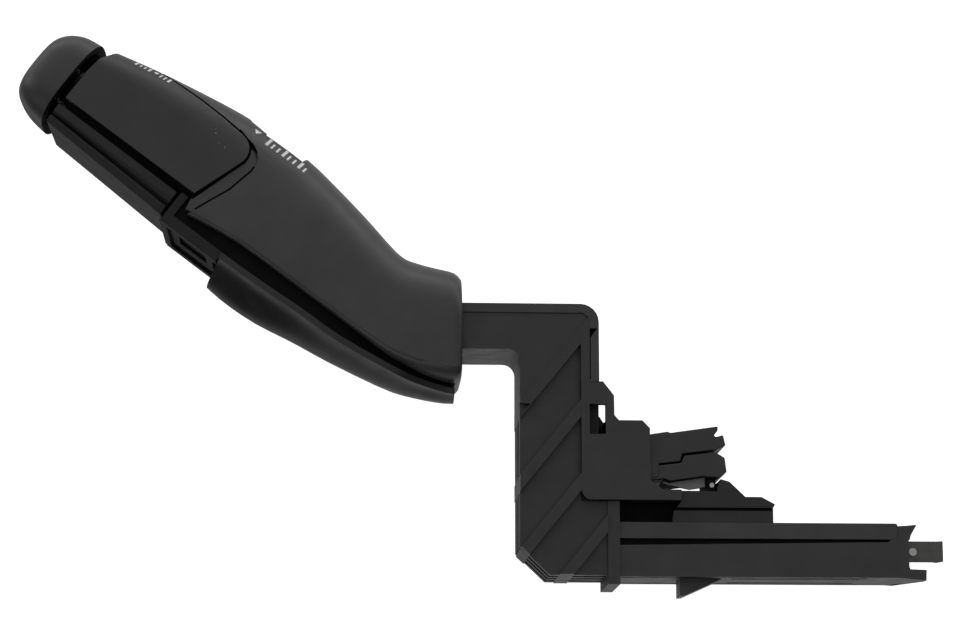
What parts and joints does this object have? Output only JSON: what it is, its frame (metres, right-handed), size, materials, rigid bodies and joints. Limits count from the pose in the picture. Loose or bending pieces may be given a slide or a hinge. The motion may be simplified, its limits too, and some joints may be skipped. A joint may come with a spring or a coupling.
{
  "type": "combination stalk switch",
  "caption": "Steering-column stalk switch with end button, side keys, back rocker and selector roller, on a ribbed Z-shaped arm with a plug-in rail.",
  "frame": {"origin": "middle of the slide rail's section at the shoulder that stops it", "axes": "+X along the rail in its plug-in direction, +Y towards the driver's side of the handle, +Z out of the side with the near key, across the thin way of the part"},
  "size_m": [0.1792, 0.1094, 0.0262],
  "materials": {
    "arm_plastic": "fine matt moulded, black",
    "cover_plastic": "matt moulded, black",
    "rail_plastic": "matt moulded, black",
    "contact_dark": "dull plated sheet",
    "contact_silver": "plated, smooth",
    "ribbon": "smooth film",
    "shell_satin": "fine satin texture, black",
    "shell_matte": "fine satin texture, black",
    "inner_plastic": "matt moulded, black",
    "board": "lacquered board, green",
    "switch_plastic": "matt moulded, grey",
    "steel": "plain steel",
    "key_satin": "fine satin texture, black",
    "button_satin": "smooth satin, dark grey-black",
    "roller_plastic": "ribbed, satin black"
  },
  "bodies": {
    "frame": {"arm_body": "arm_plastic", "duct_cover": "cover_plastic", "mount_housing": "arm_plastic", "upper_fork": "arm_plastic", "lower_fork": "arm_plastic", "fork_contact": "contact_dark", "terminal_block": "arm_plastic", "rail_body": "rail_plastic", "rail_cover": "cover_plastic", "contact_blade": "contact_dark", "contact_rivets": "contact_silver", "ribbon_cable": "ribbon", "front_shell": "shell_satin", "rear_shell": "shell_matte", "inner_frame": "inner_plastic", "circuit_board": "board", "push_switches": "switch_plastic", "frame_screws": "steel", "arm_screw": "steel", "key_pins": "steel", "rocker_pin": "steel", "button_spring": "steel", "roller_axle": "steel", "detent_spring": "steel"},
    "near_key": {"near_key": "key_satin"},
    "far_key": {"far_key": "key_satin"},
    "rear_rocker": {"rear_rocker": "key_satin"},
    "end_button": {"end_button": "button_satin"},
    "selector_roller": {"selector_roller": "roller_plastic"}
  },
  "joints": [
    {"name": "end_button_slide", "type": "slide", "parent": "frame", "child": "end_button", "axis": [0.7986, -0.6018, 0], "range_m": [0, 0.0012], "stiffness_N_per_m": 500, "springref_m": -0.004, "deforming": ["button_spring"]},
    {"name": "near_key_hinge", "type": "hinge", "parent": "frame", "child": "near_key", "pos_m": [-0.10199, 0.08891, 0.0074], "axis": [0.6018, 0.7986, 0], "range_deg": [0, 2.1], "stiffness_Nm_per_rad": 0.2, "springref_deg": -2.86},
    {"name": "far_key_hinge", "type": "hinge", "parent": "frame", "child": "far_key", "pos_m": [-0.10199, 0.08891, -0.0074], "axis": [-0.6018, -0.7986, 0], "range_deg": [0, 2.1], "stiffness_Nm_per_rad": 0.2, "springref_deg": -2.86},
    {"name": "rear_rocker_hinge", "type": "hinge", "parent": "frame", "child": "rear_rocker", "pos_m": [-0.09802, 0.0754, 0], "axis": [0, 0, 1], "range_deg": [-2.5, 2.5], "stiffness_Nm_per_rad": 0.1},
    {"name": "selector_roller_hinge", "type": "hinge", "parent": "frame", "child": "selector_roller", "pos_m": [-0.06963, 0.07154, 0], "axis": [0.7986, -0.6018, 0], "range_deg": [-28, 28]}
  ]
}
